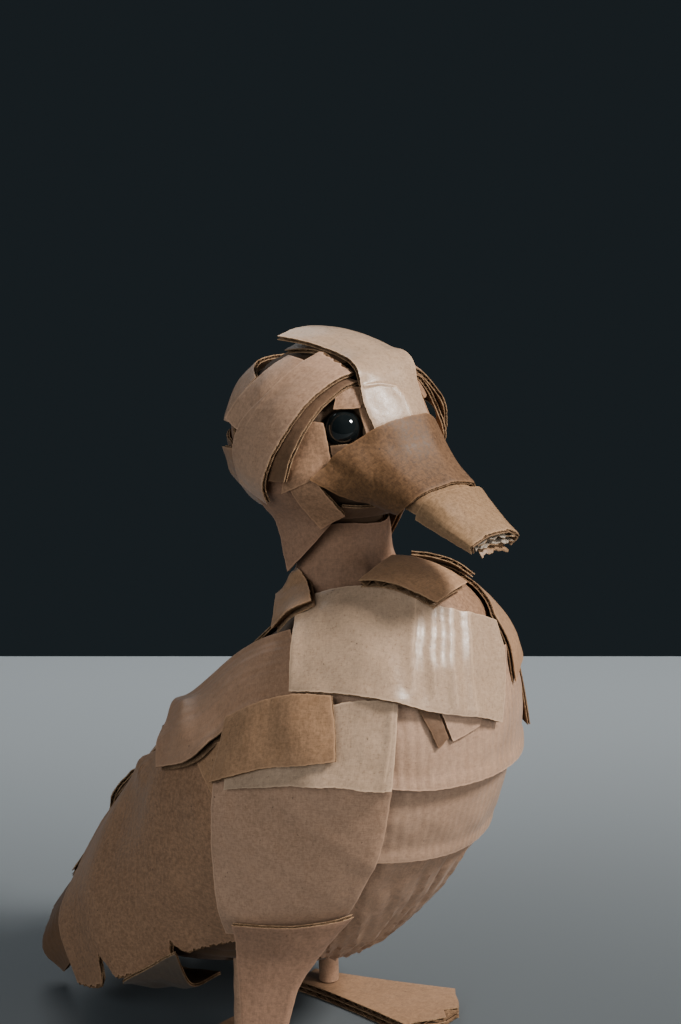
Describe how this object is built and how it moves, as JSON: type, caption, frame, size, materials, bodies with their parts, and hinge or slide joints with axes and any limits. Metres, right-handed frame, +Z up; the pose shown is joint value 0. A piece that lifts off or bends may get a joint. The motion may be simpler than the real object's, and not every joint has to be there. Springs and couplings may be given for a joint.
{
  "type": "cardboard duck sculpture",
  "caption": "Standing duckling figure built from overlapping strips of corrugated card, with bead eyes, a folded card bill and flat webbed feet.",
  "frame": {"origin": "middle of the box on the floor, under the feet", "axes": "+Z up, the duck looks along -Y, its left side is +X"},
  "size_m": [0.0902, 0.1434, 0.1827],
  "materials": {
    "pale_card": "satin pale card",
    "kraft_card": "matte brown corrugated card",
    "ochre_card": "matte ochre card",
    "brown_card": "matte dark brown card",
    "grey_card": "matte grey card",
    "core_card": "matte brown card",
    "black_bead": "glossy black"
  },
  "bodies": {
    "root": {"card_form": "core_card", "bill_core": "kraft_card", "eye_right": "black_bead", "eye_left": "black_bead", "leg_right": "brown_card", "foot_right": "ochre_card", "leg_left": "brown_card", "foot_left": "ochre_card", "belly_strip": "grey_card", "tail_side_left": "kraft_card", "tail_side_right": "kraft_card", "flank_left": "pale_card", "flank_right": "pale_card", "belly_side_left": "grey_card", "belly_side_right": "grey_card", "back_strip": "grey_card", "tail_top": "pale_card", "chest_band_low": "brown_card", "chest_band_middle": "kraft_card", "chest_band_top": "kraft_card", "wing_left": "kraft_card", "wing_right": "kraft_card", "wing_tip_left": "kraft_card", "wing_tip_right": "kraft_card", "scapular_left": "kraft_card", "scapular_right": "kraft_card", "wing_fold_left": "pale_card", "wing_fold_right": "pale_card", "wing_cover_left": "ochre_card", "wing_cover_right": "ochre_card", "yoke_left": "ochre_card", "yoke_right": "pale_card", "neck_back": "brown_card", "neck_front": "kraft_card", "collar_left": "ochre_card", "collar_side_left": "ochre_card", "collar_side_right": "ochre_card", "collar_front": "ochre_card", "nape": "brown_card", "back_of_head": "kraft_card", "crown_side_left": "kraft_card", "crown_side_right": "kraft_card", "throat": "brown_card", "nape_side_left": "pale_card", "nape_side_right": "pale_card", "cheek_left": "kraft_card", "cheek_right": "kraft_card", "jaw_left": "brown_card", "jaw_right": "brown_card", "eye_rim_left": "brown_card", "eye_rim_right": "brown_card", "under_brow_left": "ochre_card", "under_brow_right": "ochre_card", "brow_left": "kraft_card", "brow_right": "kraft_card", "under_crown": "brown_card", "crown": "pale_card", "bill_wrap": "kraft_card", "saddle": "brown_card", "bill_tip_wrap": "kraft_card"}
  },
  "joints": []
}
